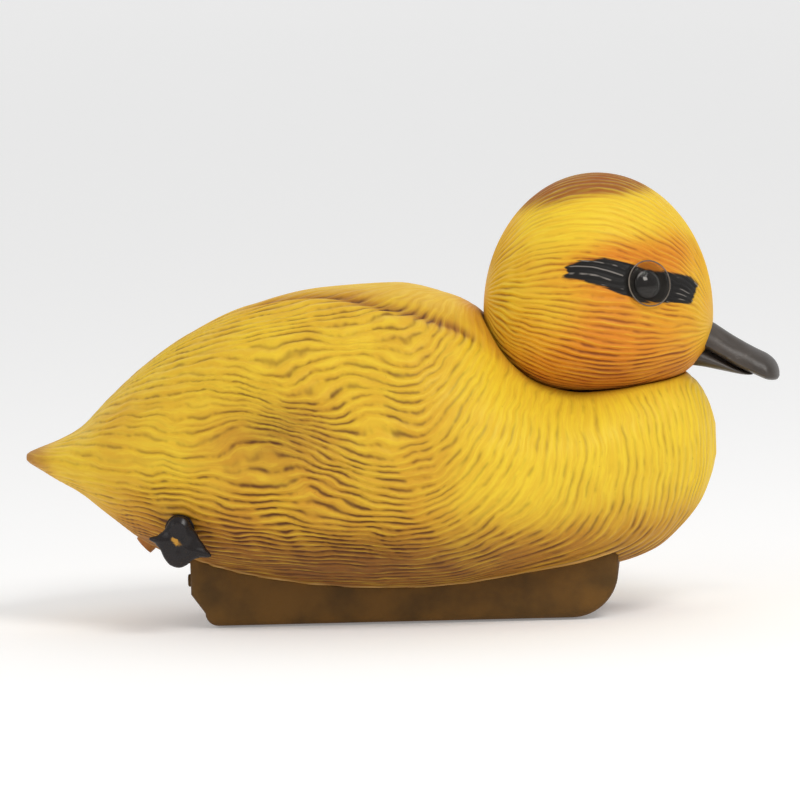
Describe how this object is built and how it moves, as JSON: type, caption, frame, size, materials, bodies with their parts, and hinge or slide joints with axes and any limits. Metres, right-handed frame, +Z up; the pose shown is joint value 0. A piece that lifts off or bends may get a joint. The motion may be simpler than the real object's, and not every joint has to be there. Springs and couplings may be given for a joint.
{
  "type": "floating duck decoy",
  "caption": "Floating duckling decoy with a hollow carved-look body on a flat weighted keel, a turning head, glossy eyes, small webbed feet that swing and a drain plug.",
  "frame": {"origin": "On the flat keel bottom, at the middle of the overall length (bill tip to tail tip) and width", "axes": "+X towards the bill, +Y towards the duck's left side, +Z up"},
  "size_m": [0.2, 0.092, 0.1157],
  "materials": {
    "yellow_moulding": "Hollow moulding with shallow carved down grooves, yellow paint with brown paint in the grooves, satin",
    "brown_moulding": "Plain brown moulding, satin, slightly pebbled",
    "ballast_iron": "Cast bar, unpainted",
    "grey_plastic": "Moulded acetal, satin",
    "felt_washer": "Pressed felt friction washer",
    "seal_rubber": "Black rubber ring",
    "spring_steel": "Plain spring wire",
    "black_moulding": "Near-black moulding, satin",
    "black_gloss": "Polished black",
    "clear_lens": "Clear polished dome",
    "yellow_pin": "Orange-yellow moulded pin"
  },
  "bodies": {
    "hull": {"body_shell": "yellow_moulding", "keel_shell": "brown_moulding", "keel_weight": "ballast_iron", "line_peg": "brown_moulding", "neck_socket": "grey_plastic", "neck_washer": "felt_washer", "neck_seal": "seal_rubber", "leg_right": "yellow_moulding", "leg_left": "yellow_moulding", "foot_pin_right": "yellow_pin", "foot_pin_left": "yellow_pin"},
    "head": {"head_shell": "yellow_moulding", "neck_spigot": "grey_plastic", "neck_snap_ring": "spring_steel", "bill_upper": "black_moulding", "bill_lower": "black_moulding", "eye_lens_right": "clear_lens", "eye_lens_left": "clear_lens", "eye_pupil_right": "black_gloss", "eye_pupil_left": "black_gloss", "eye_washer_right": "grey_plastic", "eye_washer_left": "grey_plastic"},
    "right_foot": {"foot_right": "black_moulding"},
    "left_foot": {"foot_left": "black_moulding"},
    "plug": {"drain_plug": "yellow_pin"}
  },
  "joints": [
    {"name": "head_swivel", "type": "hinge", "parent": "hull", "child": "head", "pos_m": [0.0526, 0, 0.0596], "axis": [0, 0, 1], "range_deg": [-75, 75]},
    {"name": "right_foot_swing", "type": "hinge", "parent": "hull", "child": "right_foot", "pos_m": [-0.0574, -0.0371, 0.0278], "axis": [0, 1, 0], "range_deg": [-12, 30]},
    {"name": "left_foot_swing", "type": "hinge", "parent": "hull", "child": "left_foot", "pos_m": [-0.0574, 0.0371, 0.0278], "axis": [0, 1, 0], "range_deg": [-12, 30]},
    {"name": "drain_plug_pull", "type": "slide", "parent": "hull", "child": "plug", "axis": [-0.7431, 0, -0.6691], "range_m": [0, 0.009]}
  ]
}
